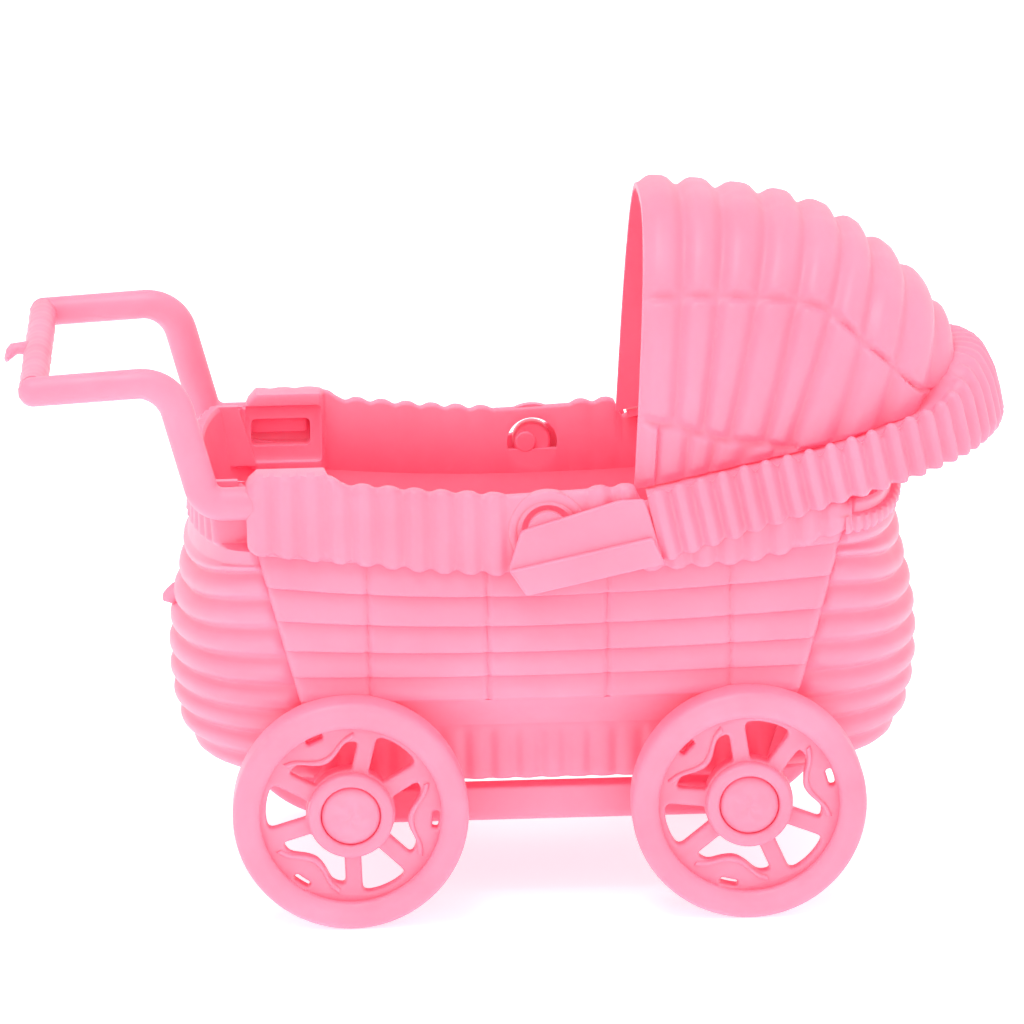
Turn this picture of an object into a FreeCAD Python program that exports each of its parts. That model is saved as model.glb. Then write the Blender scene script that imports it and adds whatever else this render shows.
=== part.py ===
"""Small moulded doll's pram: a wicker-look basket on four wheels, a swing hood and a push handle.

X runs from the handle (-X) to the hood (+X), Y across the pram and Z up.  The origin is on the
ground under the middle of the pram.  All sizes are in millimetres.
"""
import FreeCAD, Part
import math
import os
import Sketcher

from FreeCAD import Placement, Rotation, Vector

X_AXIS = Vector(1, 0, 0)
Y_AXIS = Vector(0, 1, 0)
Z_AXIS = Vector(0, 0, 1)

DIMENSIONS = {
    # a length and a width that reach past the whole pram, for trimming blocks
    "room_length": 120.0,
    "room_width": 60.0,
    # basket
    "wall": 1.2,
    "basket_mid": 3.3,
    "floor_under": 16.9,
    "ledge_height": 24.3,
    "rim_height": 57.2,
    "hood_side_rim": 55.6,
    "rim_step": 14.0,
    "front_rim_top": 53.4,
    "plinth_length": 42.6,
    "plinth_width": 17.2,
    "plinth_flare": 0.4,
    "corner_foot": 24.2,
    "corner_lean": 15.8,
    # rim band and hinge ears
    "wall_width": 24.1,
    "rim_band": 1.0,
    "rim_under": 48.2,
    "pivot_x": 3.2,
    "pivot_z": 52.3,
    "pivot_hole": 3.4,
    "ear_radius": 5.9,
    # handle and its sockets
    "socket_start": -35.4,
    "socket_end": -24.8,
    "socket_top": 60.4,
    "socket_under": 49.6,
    "socket_inner": 20.9,
    "socket_outer": 25.3,
    "slot_width": 2.4,
    "slot_height": 5.2,
    "window_inset": 2.0,
    "window_length": 6.4,
    "foot_room": 8.0,
    "arm_y": 23.3,
    "arm_radius": 2.15,
    "arm_tip": -62.85,
    "arm_height": 72.0,
    "knee_x": -44.9,
    "knee_z": 72.9,
    "knee_round": 3.2,
    "foot_x": -40.6,
    "foot_round": 3.0,
    "cross_x": -61.9,
    "cross_radius": 1.95,
    "core_length": 20.0,
    "tongue_reach": 8.6,
    "tongue_play": 0.4,
    "tongue_width": 2.0,
    "tongue_height": 4.6,
    "tongue_z": 56.8,
    # wheels and axles
    "wheel_radius": 15.3,
    "wheel_half": 3.0,
    "wheel_y": 24.5,
    "rear_axle": -23.0,
    "front_axle": 28.7,
    "tyre_inner": 11.2,
    "tyre_round": 1.7,
    "hub_radius": 5.6,
    "bore_radius": 2.1,
    "cup_radius": 3.95,
    "cup_floor": 1.3,
    "web_half": 0.8,
    "window_inner": 5.9,
    "window_outer": 10.9,
    "swag_reach": 7.6,
    "swag_shoulder": 9.9,
    "swag_end": 9.6,
    "hub_reach": 2.8,
    "axle_radius": 2.0,
    "head_radius": 3.6,
    "head_reach": 2.7,
    "head_edge": 0.6,
    "collar_radius": 3.4,
    "neck_radius": 1.5,
    "neck_play": 0.4,
    "wheel_play": 0.3,
    "cup_play": 0.2,
    # chassis
    "rail_y": 13.2,
    "rail_width": 3.4,
    "rail_under": 10.8,
    "rail_top": 15.6,
    "rail_overhang": 3.6,
    "rail_round": 1.2,
    "tie_width": 4.4,
    "tie_inset": 0.5,
    "pad_length": 7.0,
    "pad_width": 2.6,
    "pad_inset": 0.2,
    # hood, in its own frame on the hinge axis
    "hood_lean": 12.0,
    "hood_wall": 1.2,
    "hood_width": 22.3,
    "hood_base": 2.2,
    "hood_rear": 35.0,
    "ledge_thick": 1.0,
    "band_inner": 25.5,
    "band_thick": 1.4,
    "band_under": -7.2,
    "band_top": 3.2,
    "band_start": 13.4,
    "cheek_tip": -6.0,
    "cheek_step": -3.4,
    "cheek_toe": -4.6,
    "cheek_nose_x": -3.4,
    "cheek_nose_z": 1.0,
    "cheek_brow": 9.8,
    "cheek_top": 2.2,
    "cheek_thick": 0.9,
    "cheek_ledge": 1.8,
    "pin_radius": 2.7,
    "pin_root": 0.4,
    "pin_tip": 22.95,
}

# outer sections of the basket, from its lowest ring to its rim: height, half length, half width
BASKET_OUTSIDE = [
    (20.6, 45.5, 17.5),
    (24.3, 48.0, 18.4),
    (28.5, 49.1, 21.0),
    (32.0, 49.3, 21.9),
    (42.0, 48.0, 23.5),
    (48.0, 46.8, 24.1),
    (57.2, 46.2, 24.1),
]
# inner sections of the basket, from the underside of its floor to just over its rim
BASKET_INSIDE = [
    (16.9, 41.4, 16.0),
    (21.8, 41.6, 16.1),
    (24.3, 46.0, 16.4),
    (28.5, 47.9, 19.8),
    (32.0, 48.1, 20.7),
    (42.0, 46.8, 22.3),
    (48.0, 45.6, 22.9),
    (57.3, 45.0, 22.9),
]
# arches of the hood: foot, then the top's place and height, and the half width at the foot
HOOD_ARCHES = [
    (10.3, 21.8, 36.4, 22.3),
    (18.0, 31.7, 33.1, 22.3),
    (27.0, 42.0, 28.7, 22.3),
    (37.0, 49.7, 21.7, 22.2),
    (47.0, 54.6, 14.5, 19.0),
    (54.0, 56.9, 8.5, 12.0),
]
ARCH_STEPS = 12
# powers that make an arch's crown flatter and its legs straighter than an ellipse's
ARCH_RISE = 0.8
ARCH_BREADTH = 0.72
# how far the hood's hollow leans back: at its first arch and over all, in wall thicknesses
HOLLOW_START = 0.5
HOLLOW_GROWTH = 0.9
# corners of a wheel's windows: degrees round the hub, and the distance from it
WIDE_WINDOW = [
    (-23, "window_inner"), (0, "window_inner"), (23, "window_inner"), (29, "swag_end"),
    (22, "swag_shoulder"), (0, "swag_reach"), (-22, "swag_shoulder"), (-29, "swag_end"),
]
NARROW_WINDOW = [
    (50, "window_inner"), (70, "window_inner"), (74, "window_outer"), (60, "window_outer"),
    (46, "window_outer"),
]
# degrees each pair of wheels is turned to at rest
WHEEL_TURN = {"rear": 6, "front": -16}

doc = FreeCAD.newDocument("doll_pram")
sheet = doc.addObject("Spreadsheet::Sheet", "sheet")
for row, (alias, value) in enumerate(DIMENSIONS.items(), start=1):
    sheet.set("A%d" % row, str(value))
    sheet.setAlias("A%d" % row, alias)
doc.recompute()

SUB_PARTS = []


# ---------------------------------------------------------------- helpers


def size(alias):
    """The value of one driving dimension."""
    return float(getattr(sheet, alias))


def formula(text):
    """A formula for setExpression, with the sheet's name put before each alias."""
    return " ".join("sheet." + word if word in DIMENSIONS else word for word in text.split())


def bind(thing, **formulas):
    """Tie properties to formulas of the sheet; at_x, at_y and at_z are the place."""
    for prop, text in formulas.items():
        path = prop.replace("at_", "Placement.Base.")
        thing.setExpression(path, formula(text))
    return thing


def keep(label, thing):
    """Name a finished sub-part and put it on the list of pieces to write."""
    thing.Label = label
    SUB_PARTS.append(thing)
    return thing


def box(name, **formulas):
    return bind(doc.addObject("Part::Box", name), **formulas)


def rod(name, axis, **formulas):
    """A cylinder along the given axis."""
    cylinder = doc.addObject("Part::Cylinder", name)
    cylinder.Placement = Placement(Vector(), Rotation(Z_AXIS, axis))
    return bind(cylinder, **formulas)


def combine(kind, name, base, tool):
    """Part::Cut or Part::Common of two things."""
    result = doc.addObject(kind, name)
    result.Base = base
    result.Tool = tool
    return result


def cut(name, base, tool):
    return combine("Part::Cut", name, base, tool)


def common(name, base, tool):
    return combine("Part::Common", name, base, tool)


def fuse(name, *pieces):
    result = doc.addObject("Part::MultiFuse", name)
    result.Shapes = list(pieces)
    return result


def mirrored(name, source):
    """The same piece on the other side of the pram."""
    mirror = doc.addObject("Part::Mirroring", name)
    mirror.Source = source
    mirror.Normal = Y_AXIS
    return mirror


def both_sides(name, right_piece):
    """Keep a right-hand piece and its mirror image on the left."""
    keep(name + "_left", mirrored(name + "_mirror", right_piece))
    keep(name + "_right", right_piece)


def new_body(name):
    return doc.addObject("PartDesign::Body", name + "_body")


def new_sketch(body, name, role, offset=0.0):
    """A sketch on one of the body's origin planes, moved along the plane's normal."""
    sketch = body.newObject("Sketcher::SketchObject", name + "_sketch")
    plane = next(item for item in body.Origin.OriginFeatures if item.Role == role)
    sketch.AttachmentSupport = [(plane, "")]
    sketch.MapMode = "FlatFace"
    sketch.AttachmentOffset = Placement(Vector(0, 0, offset), Rotation())
    return sketch


def tie_point(sketch, line, across, up):
    """Tie the start of a line to two formulas, measured from the sketch's origin."""
    for kind, text in (("DistanceX", across), ("DistanceY", up)):
        point = sketch.getPoint(line, 1)
        value = point.x if kind == "DistanceX" else point.y
        if text == "axis":
            sketch.addConstraint(Sketcher.Constraint("PointOnObject", line, 1, -2))
            continue
        rule = sketch.addConstraint(Sketcher.Constraint(kind, -1, 1, line, 1, value))
        sketch.setExpression("Constraints[%d]" % rule, formula(text))


def value_of(text):
    """The number that a formula of the sheet's aliases stands for."""
    if text == "axis":
        return 0.0
    total = 0.0
    sign = 1.0
    for word in text.split():
        if word in "+-":
            sign = 1.0 if word == "+" else -1.0
        else:
            total += sign * (size(word) if word in DIMENSIONS else float(word))
    return total


def draw_outline(sketch, corners):
    """A closed outline of straight lines whose corners are pairs of sums of aliases."""
    points = [Vector(value_of(across), value_of(up), 0) for across, up in corners]
    count = len(points)
    for index in range(count):
        sketch.addGeometry(Part.LineSegment(points[index], points[(index + 1) % count]))
    for index in range(count):
        after = (index + 1) % count
        sketch.addConstraint(Sketcher.Constraint("Coincident", index, 2, after, 1))
    for index, (across, up) in enumerate(corners):
        tie_point(sketch, index, across, up)


def tie_all_ends(sketch):
    """Tie every two ends of the sketch's lines and arcs that touch each other."""
    ends = [(number, end) for number in range(sketch.GeometryCount) for end in (1, 2)]
    for place, one in enumerate(ends):
        for other in ends[place + 1:]:
            gap = sketch.getPoint(*one) - sketch.getPoint(*other)
            if one[0] != other[0] and gap.Length < 1e-6:
                sketch.addConstraint(Sketcher.Constraint("Coincident", *one, *other))


def pad(body, sketch, length, reverse=False, centred=False):
    feature = body.newObject("PartDesign::Pad", sketch.Name + "_pad")
    feature.Profile = sketch
    feature.Reversed = reverse
    feature.Midplane = centred
    feature.setExpression("Length", formula(length))
    return feature


def pocket_through(body, sketch):
    """A pocket through everything on both sides of its sketch."""
    feature = body.newObject("PartDesign::Pocket", sketch.Name + "_pocket")
    feature.Profile = sketch
    feature.Type = 1
    feature.Midplane = True
    return feature


def revolve(body, sketch):
    """A full turn of the sketch about its upright axis."""
    feature = body.newObject("PartDesign::Revolution", sketch.Name + "_turned")
    feature.Profile = sketch
    feature.ReferenceAxis = (sketch, ["V_Axis"])
    feature.Angle = 360
    return feature


# ---------------------------------------------------------------- basket


def corner_x(height):
    """Half the distance between the two lines where the sides meet the rounded ends."""
    return size("corner_foot") + height * math.tan(math.radians(size("corner_lean")))


def half_oval(centre, reach, half_width):
    """Half an ellipse that bulges along X by reach, which may be negative."""
    long_end = centre + Vector(reach, 0, 0)
    wide_end = centre + Vector(0, half_width, 0)
    if abs(reach) < half_width:
        oval = Part.Ellipse(wide_end, long_end, centre)
    else:
        oval = Part.Ellipse(long_end, wide_end, centre)
    middle = oval.parameter(long_end)
    return oval.toShape(middle - math.pi / 2, middle + math.pi / 2)


def basket_section(height, half_length, half_width):
    """One level section: straight sides closed by two half ellipses."""
    straight = corner_x(height)
    ends = [Vector(size("basket_mid") + side * straight, 0, height) for side in (1, -1)]
    reach = half_length - straight
    edges = [half_oval(ends[0], reach, half_width)]
    for side in (1, -1):
        across = Vector(0, side * half_width, 0)
        edges.append(Part.makeLine(ends[0] + across, ends[1] + across))
        if side > 0:
            edges.append(half_oval(ends[1], -reach, half_width))
    return Part.Wire(Part.__sortEdges__(edges))


def loft(name, wires):
    feature = doc.addObject("Part::Feature", name)
    feature.Shape = Part.makeLoft(wires, True, True)
    return feature


def end_zone(name, side):
    """A block that holds everything beyond the leaning line at one end of the basket."""
    room = size("room_width")
    zone = box(name, Length="room_width", Width="room_width", Height="room_width * 1.5")
    turn = Rotation(Y_AXIS, side * size("corner_lean"))
    foot = Vector(size("basket_mid") + side * size("corner_foot"), -room / 2, 0)
    if side < 0:
        foot = foot - turn.multVec(Vector(room, 0, 0))
    zone.Placement = Placement(foot, turn)
    return zone


def hinge_hole(name):
    """A rod through both walls at the hood's hinge."""
    return rod(name, Y_AXIS, Radius="pivot_hole", Height="room_width",
               at_x="pivot_x", at_y="0 - room_width / 2", at_z="pivot_z")


def make_basket():
    """The basket: floor, plinth, leaning sides, rounded ends and the rim band with its ears."""
    outside = loft("hull_outside", [basket_section(*level) for level in BASKET_OUTSIDE])
    inside = loft("hull_inside", [basket_section(*level) for level in BASKET_INSIDE])
    inside_copy = loft("floor_outline", [basket_section(*level) for level in BASKET_INSIDE])
    plinth_levels = [
        (size("floor_under"), size("plinth_length"), size("plinth_width")),
        (size("ledge_height"), size("plinth_length") + size("plinth_flare"),
         size("plinth_width") + size("plinth_flare")),
    ]
    plinth = loft("plinth_outside", [basket_section(*level) for level in plinth_levels])

    slab = box("floor_slab", Length="room_length", Width="room_width", Height="wall",
               at_x="0 - room_length / 2", at_y="0 - room_width / 2", at_z="floor_under")
    keep("basket_floor", common("basket_floor_cut", inside_copy, slab))

    rear_zone = end_zone("rear_zone", -1)
    front_zone = end_zone("front_zone", 1)
    both_zones = fuse("both_zones", rear_zone, front_zone)
    low_ends = common("low_ends", outside, both_zones)
    skirt = cut("skirt", plinth, inside)
    keep("basket_plinth", cut("basket_plinth_cut", skirt, low_ends))

    hull = cut("hull", outside, inside)
    trim = box("hood_side_trim", Length="room_length", Width="room_width", Height="rim_height",
               at_x="rim_step", at_y="0 - room_width / 2", at_z="hood_side_rim")
    hull_trimmed = cut("hull_trimmed", hull, trim)

    notches = handle_notches()
    rear_raw = common("rear_raw", hull_trimmed, rear_zone)
    rear_clear = cut("rear_clear", rear_raw, plinth)
    keep("basket_end_rear", cut("basket_end_rear_cut", rear_clear, notches))
    front_raw = common("front_raw", hull_trimmed, front_zone)
    keep("basket_end_front", cut("basket_end_front_cut", front_raw, plinth))

    side_room = box("side_room", Length="room_length", Width="room_width / 2",
                    Height="rim_height",
                    at_x="0 - room_length / 2", at_y="0 - room_width / 2", at_z="ledge_height")
    middle = cut("middle", hull_trimmed, both_zones)
    right_raw = common("side_right_raw", middle, side_room)
    right_notched = cut("side_right_notched", right_raw, notches)
    right_side = cut("basket_side_cut", right_notched, hinge_hole("side_hole"))
    both_sides("basket_side", right_side)

    make_rim(outside, front_zone)


def handle_notches():
    """The room for the handle's feet and their sockets in the walls of the basket."""
    rooms = []
    for side, edge in (("right", "0 - room_width / 2"), ("left", "socket_inner")):
        rooms.append(box("notch_" + side, Length="socket_end - socket_start + foot_room",
                         Width="room_width / 2 - socket_inner", Height="socket_top - socket_under",
                         at_x="socket_start - foot_room", at_y=edge, at_z="socket_under"))
    return fuse("handle_rooms", *rooms)


def make_rim(outside, front_zone):
    """The rim band outside the walls, with a round ear about each hinge hole."""
    wide = box("rim_wide", Length="rim_step - socket_end", Width="rim_band",
               Height="rim_height - rim_under",
               at_x="socket_end", at_y="0 - wall_width - rim_band", at_z="rim_under")
    low = box("rim_low", Length="room_length / 2 - rim_step", Width="rim_band",
              Height="hood_side_rim - rim_under",
              at_x="rim_step", at_y="0 - wall_width - rim_band", at_z="rim_under")
    ear = rod("rim_ear", Y_AXIS, Radius="ear_radius", Height="rim_band",
              at_x="pivot_x", at_y="0 - wall_width - rim_band", at_z="pivot_z")
    band = fuse("rim_fused", wide, low, ear)
    short = cut("rim_short", band, front_zone)
    both_sides("rim_band", cut("rim_band_cut", short, hinge_hole("rim_hole")))

    levels = []
    for height in (size("rim_under"), size("front_rim_top")):
        length = BASKET_OUTSIDE[-2][1] + size("rim_band")
        levels.append((height, length, size("wall_width") + size("rim_band")))
    ring = loft("rim_ring", [basket_section(*level) for level in levels])
    head_band = common("rim_head_raw", ring, front_zone)
    keep("rim_band_front", cut("rim_band_front_cut", head_band, outside))


def make_sockets():
    """Box sockets at the basket's rear corners that take the handle's snap tongues."""
    block = box("socket_block", Length="socket_end - socket_start",
                Width="socket_outer - socket_inner", Height="socket_top - socket_under",
                at_x="socket_start", at_y="0 - socket_outer", at_z="socket_under")
    slot = box("socket_slot", Length="tongue_reach + tongue_play", Width="slot_width",
               Height="slot_height",
               at_x="socket_start", at_y="0 - arm_y - slot_width / 2",
               at_z="tongue_z - slot_height / 2")
    window = box("socket_window", Length="window_length", Width="2 * slot_width",
                 Height="slot_height",
                 at_x="socket_start + window_inset", at_y="0 - arm_y",
                 at_z="tongue_z - slot_height / 2")
    opened = fuse("socket_opening", slot, window)
    both_sides("handle_socket", cut("socket_cut", block, opened))


# ---------------------------------------------------------------- handle


def rounded_path(points, radii):
    """Straight runs joined by tangent arcs, as pieces of Part geometry."""
    pieces = []
    start = points[0]
    for index, radius in enumerate(radii, start=1):
        before = (points[index] - points[index - 1]).normalize()
        after = (points[index + 1] - points[index]).normalize()
        half_turn = before.getAngle(after) / 2
        reach = radius * math.tan(half_turn)
        arc_start = points[index] - before * reach
        arc_end = points[index] + after * reach
        inward = (after - before).normalize()
        arc_mid = points[index] + inward * (radius / math.cos(half_turn) - radius)
        pieces.append(Part.LineSegment(start, arc_start))
        pieces.append(Part.Arc(arc_start, arc_mid, arc_end))
        start = arc_end
    pieces.append(Part.LineSegment(start, points[-1]))
    return pieces


def make_handle():
    """A round bar: two cranked arms with snap tongues and a cross bar between them."""
    body = new_body("handle_arm")
    path = new_sketch(body, "arm_path", "XZ_Plane", size("arm_y"))
    corners = [
        Vector(size("arm_tip"), size("arm_height"), 0),
        Vector(size("knee_x"), size("knee_z"), 0),
        Vector(size("foot_x"), size("tongue_z"), 0),
        Vector(size("socket_start"), size("tongue_z"), 0),
    ]
    for piece in rounded_path(corners, (size("knee_round"), size("foot_round"))):
        path.addGeometry(piece)
    tie_all_ends(path)
    ring = new_sketch(body, "arm_ring", "YZ_Plane", size("arm_tip"))
    centre = Vector(-size("arm_y"), size("arm_height"), 0)
    ring.addGeometry(Part.Circle(centre, Z_AXIS, size("arm_radius")))
    rule = ring.addConstraint(Sketcher.Constraint("Radius", 0, size("arm_radius")))
    ring.setExpression("Constraints[%d]" % rule, formula("arm_radius"))
    doc.recompute()
    pipe = body.newObject("PartDesign::AdditivePipe", "arm_pipe")
    pipe.Profile = ring
    pipe.Spine = path
    tip = bind(doc.addObject("Part::Sphere", "arm_tip"), Radius="arm_radius",
               at_x="arm_tip", at_y="0 - arm_y", at_z="arm_height")
    tongue = box("arm_tongue", Length="tongue_reach", Width="tongue_width",
                 Height="tongue_height",
                 at_x="socket_start", at_y="0 - arm_y - tongue_width / 2",
                 at_z="tongue_z - tongue_height / 2")
    right_arm = fuse("handle_arm_fused", body, tip, tongue)
    both_sides("handle_arm", right_arm)
    bar = rod("cross_rod", Y_AXIS, Radius="cross_radius", Height="2 * arm_y",
              at_x="cross_x", at_y="0 - arm_y", at_z="arm_height")
    core = rod("cross_trim", X_AXIS, Radius="arm_radius", Height="core_length",
               at_x="cross_x - core_length / 2", at_y="0 - arm_y", at_z="arm_height")
    trimmed = cut("cross_trimmed", bar, core)
    keep("handle_crossbar", cut("handle_crossbar_cut", trimmed, mirrored("cross_other", core)))


# ---------------------------------------------------------------- wheels and axles


def make_wheel(label, axle_x, side, rest_turn):
    """A spoked wheel: rounded tyre, six windows in the web and a cupped hub."""
    body = new_body(label)
    section = new_sketch(body, label, "XY_Plane")
    draw_outline(section, [
        ("bore_radius", "wheel_half"),
        ("hub_radius", "wheel_half"),
        ("hub_radius", "web_half"),
        ("tyre_inner", "web_half"),
        ("tyre_inner", "wheel_half"),
        ("wheel_radius", "wheel_half"),
        ("wheel_radius", "0 - wheel_half"),
        ("tyre_inner", "0 - wheel_half"),
        ("tyre_inner", "0 - web_half"),
        ("hub_radius", "0 - web_half"),
        ("hub_radius", "0 - hub_reach"),
        ("cup_radius", "0 - hub_reach"),
        ("cup_radius", "0 - cup_floor"),
        ("bore_radius", "0 - cup_floor"),
    ])
    revolve(body, section)
    doc.recompute()
    windows = new_sketch(body, label + "_windows", "XZ_Plane")
    draw_windows(windows)
    opening = pocket_through(body, windows)
    pattern = body.newObject("PartDesign::PolarPattern", label + "_pattern")
    pattern.Originals = [opening]
    pattern.Axis = (windows, ["N_Axis"])
    pattern.Angle = 360
    pattern.Occurrences = 3
    body.Tip = pattern
    doc.recompute()
    round_tyre(body, pattern, label)
    turn = Rotation(Y_AXIS, -rest_turn)
    if side > 0:
        turn = Rotation(Z_AXIS, 180).multiply(turn)
    body.Placement = Placement(Vector(0, 0, 0), turn)
    bind(body, at_x=axle_x, at_y="wheel_y" if side > 0 else "0 - wheel_y", at_z="wheel_radius")
    keep(label, body)


def ray(angle, radius):
    """A point of a sketch at an angle and a distance from its origin."""
    turn = math.radians(angle)
    return Vector(radius * math.cos(turn), radius * math.sin(turn), 0)


def draw_windows(sketch):
    """One wide window with a notch at its outer side, and one narrow window."""
    for window in (WIDE_WINDOW, NARROW_WINDOW):
        corners = [ray(angle, size(radius)) for angle, radius in window]
        first = sketch.GeometryCount
        count = len(corners)
        for index, corner in enumerate(corners):
            sketch.addGeometry(Part.LineSegment(corner, corners[(index + 1) % count]))
        for index in range(count):
            after = first + (index + 1) % count
            sketch.addConstraint(Sketcher.Constraint("Coincident", first + index, 2, after, 1))


def round_tyre(body, base, label):
    """Round the two outer edges of the tyre."""
    tyre_middle = (size("tyre_inner") + size("wheel_radius")) / 2
    wanted = []
    for number, edge in enumerate(base.Shape.Edges, start=1):
        curve = edge.Curve
        if isinstance(curve, Part.Circle) and curve.Radius > tyre_middle:
            wanted.append("Edge%d" % number)
    rounding = body.newObject("PartDesign::Fillet", label + "_rounding")
    rounding.Base = (base, wanted)
    rounding.setExpression("Radius", formula("tyre_round"))
    body.Tip = rounding


def make_axle(label, axle_x, side):
    """A stub axle with a collar at the rail and a flattened head outside the wheel."""
    body = new_body(label)
    section = new_sketch(body, label, "XY_Plane")
    draw_outline(section, [
        ("axis", "rail_y + rail_width"),
        ("neck_radius", "rail_y + rail_width"),
        ("neck_radius", "plinth_width + plinth_flare + neck_play"),
        ("collar_radius", "plinth_width + plinth_flare + neck_play"),
        ("collar_radius", "wheel_y - wheel_half - wheel_play"),
        ("axle_radius", "wheel_y - wheel_half - wheel_play"),
        ("axle_radius", "wheel_y + cup_floor + cup_play"),
        ("head_radius", "wheel_y + cup_floor + cup_play"),
        ("head_radius", "wheel_y + head_reach - head_edge"),
        ("axle_radius", "wheel_y + head_reach"),
        ("axis", "wheel_y + head_reach"),
    ])
    revolve(body, section)
    if side < 0:
        body.Placement = Placement(Vector(), Rotation(Z_AXIS, 180))
    bind(body, at_x=axle_x, at_z="wheel_radius")
    keep(label, body)


# ---------------------------------------------------------------- chassis


def make_chassis():
    """Two rails, two cross ties at the axles and four pads that carry the basket."""
    rail = box("rail_bar", Length="front_axle - rear_axle + 2 * rail_overhang",
               Width="rail_width", Height="rail_top - rail_under",
               at_x="rear_axle - rail_overhang", at_y="0 - rail_y - rail_width",
               at_z="rail_under")
    rounded = doc.addObject("Part::Fillet", "rail_rounded")
    rounded.Base = rail
    doc.recompute()
    lengthwise = []
    for number, edge in enumerate(rail.Shape.Edges, start=1):
        if abs(edge.tangentAt(edge.FirstParameter).x) > 0.9:
            lengthwise.append((number, size("rail_round"), size("rail_round")))
    rounded.Edges = lengthwise
    both_sides("chassis_rail", rounded)
    for end in ("rear", "front"):
        axle = end + "_axle"
        keep("chassis_tie_" + end,
             box("tie_" + end, Length="tie_width", Width="2 * rail_y",
                 Height="rail_top - rail_under - 2 * tie_inset",
                 at_x=axle + " - tie_width / 2", at_y="0 - rail_y",
                 at_z="rail_under + tie_inset"))
        pad_block = box("pad_" + end, Length="pad_length", Width="pad_width",
                        Height="floor_under - rail_top",
                        at_x=axle + " - pad_length / 2",
                        at_y="0 - rail_y - pad_inset - pad_width", at_z="rail_top")
        both_sides("chassis_pad_" + end, pad_block)


# ---------------------------------------------------------------- hood


def hood_place():
    """The hood's own frame: on the hinge axis, with its X axis along its lower edge."""
    return Placement(Vector(size("pivot_x"), 0, size("pivot_z")),
                     Rotation(Y_AXIS, -size("hood_lean")))


def arch(foot, top_x, top_z, half_width, inset, shift):
    """One arch of the hood, with upright legs and a rounded crown."""
    base = size("hood_base")
    points = []
    for step in range(ARCH_STEPS + 1):
        turn = math.pi * step / ARCH_STEPS
        rise = max(math.sin(turn), 0.0) ** ARCH_RISE
        side = math.copysign(abs(math.cos(turn)) ** ARCH_BREADTH, math.cos(turn))
        x = foot + shift + (top_x - foot) * rise
        z = base + (top_z - inset - base) * rise
        points.append(Vector(x, -(half_width - inset) * side, z))
    crown = Part.BSplineCurve()
    crown.interpolate(points)
    return Part.Wire([crown.toShape(), Part.makeLine(points[-1], points[0])])


def make_shell():
    """The ribbed roof of the hood, as a plain shell open towards the handle."""
    count = len(HOOD_ARCHES)
    wall = size("hood_wall")
    outer = Part.makeLoft([arch(*row, 0.0, 0.0) for row in HOOD_ARCHES], True, False)
    hollow = []
    for index, row in enumerate(HOOD_ARCHES):
        shift = -wall * (HOLLOW_START + HOLLOW_GROWTH * index / count)
        hollow.append(arch(*row, wall, shift))
    inner = Part.makeLoft(hollow, True, False)
    room = size("room_length")
    under = Part.makeBox(2 * room, room, wall, Vector(-room, -room / 2, size("hood_base") - wall))
    open_below = inner.fuse(inner.translated(Vector(0, 0, -wall / 3)))
    shell = doc.addObject("Part::Feature", "hood_shell_raw")
    shell.Shape = outer.cut(open_below).cut(under)
    shell.Placement = hood_place()
    keep("hood_shell", shell)


def draw_horseshoe(sketch, inner, outer, start):
    """A flat horseshoe: two straight sides closed by half a ring at the hood's rear."""
    middle = size("hood_rear")
    front = size(start)
    small = value_of(inner)
    large = value_of(outer)
    half_turn = math.pi / 2
    for radius in (large, small):
        ring = Part.Circle(Vector(middle, 0, 0), Z_AXIS, radius)
        sketch.addGeometry(Part.ArcOfCircle(ring, -half_turn, half_turn))
    for side in (1, -1):
        corners = [(middle, large), (front, large), (front, small), (middle, small)]
        for first, second in zip(corners, corners[1:]):
            begin = Vector(first[0], side * first[1], 0)
            finish = Vector(second[0], side * second[1], 0)
            sketch.addGeometry(Part.LineSegment(begin, finish))
    for number, text in ((0, outer), (1, inner)):
        radius = sketch.Geometry[number].Radius
        rule = sketch.addConstraint(Sketcher.Constraint("Radius", number, radius))
        sketch.setExpression("Constraints[%d]" % rule, formula(text))
    tie_all_ends(sketch)


def horseshoe(label, inner, outer, start, under, height):
    body = new_body(label)
    outline = new_sketch(body, label, "XY_Plane", value_of(under))
    draw_horseshoe(outline, inner, outer, start)
    pad(body, outline, height)
    body.Placement = hood_place()
    keep(label, body)


def make_cheek():
    """The flat end of the hood's band on each side: a plate with a thicker lower ledge."""
    body = new_body("hood_cheek")
    plate = new_sketch(body, "cheek_plate", "XZ_Plane", size("band_inner"))
    draw_outline(plate, [
        ("cheek_tip", "cheek_step"),
        ("cheek_toe", "band_under"),
        ("band_start", "band_under"),
        ("band_start", "cheek_top"),
        ("cheek_brow", "cheek_top"),
        ("cheek_nose_x", "cheek_nose_z"),
    ])
    pad(body, plate, "cheek_thick")
    ledge = new_sketch(body, "cheek_ledge", "XZ_Plane", size("band_inner"))
    draw_outline(ledge, [
        ("cheek_tip", "cheek_step"),
        ("cheek_toe", "band_under"),
        ("band_start", "band_under"),
        ("band_start", "cheek_step"),
    ])
    pad(body, ledge, "cheek_ledge")
    body.Placement = hood_place()
    both_sides("hood_cheek", body)


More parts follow.
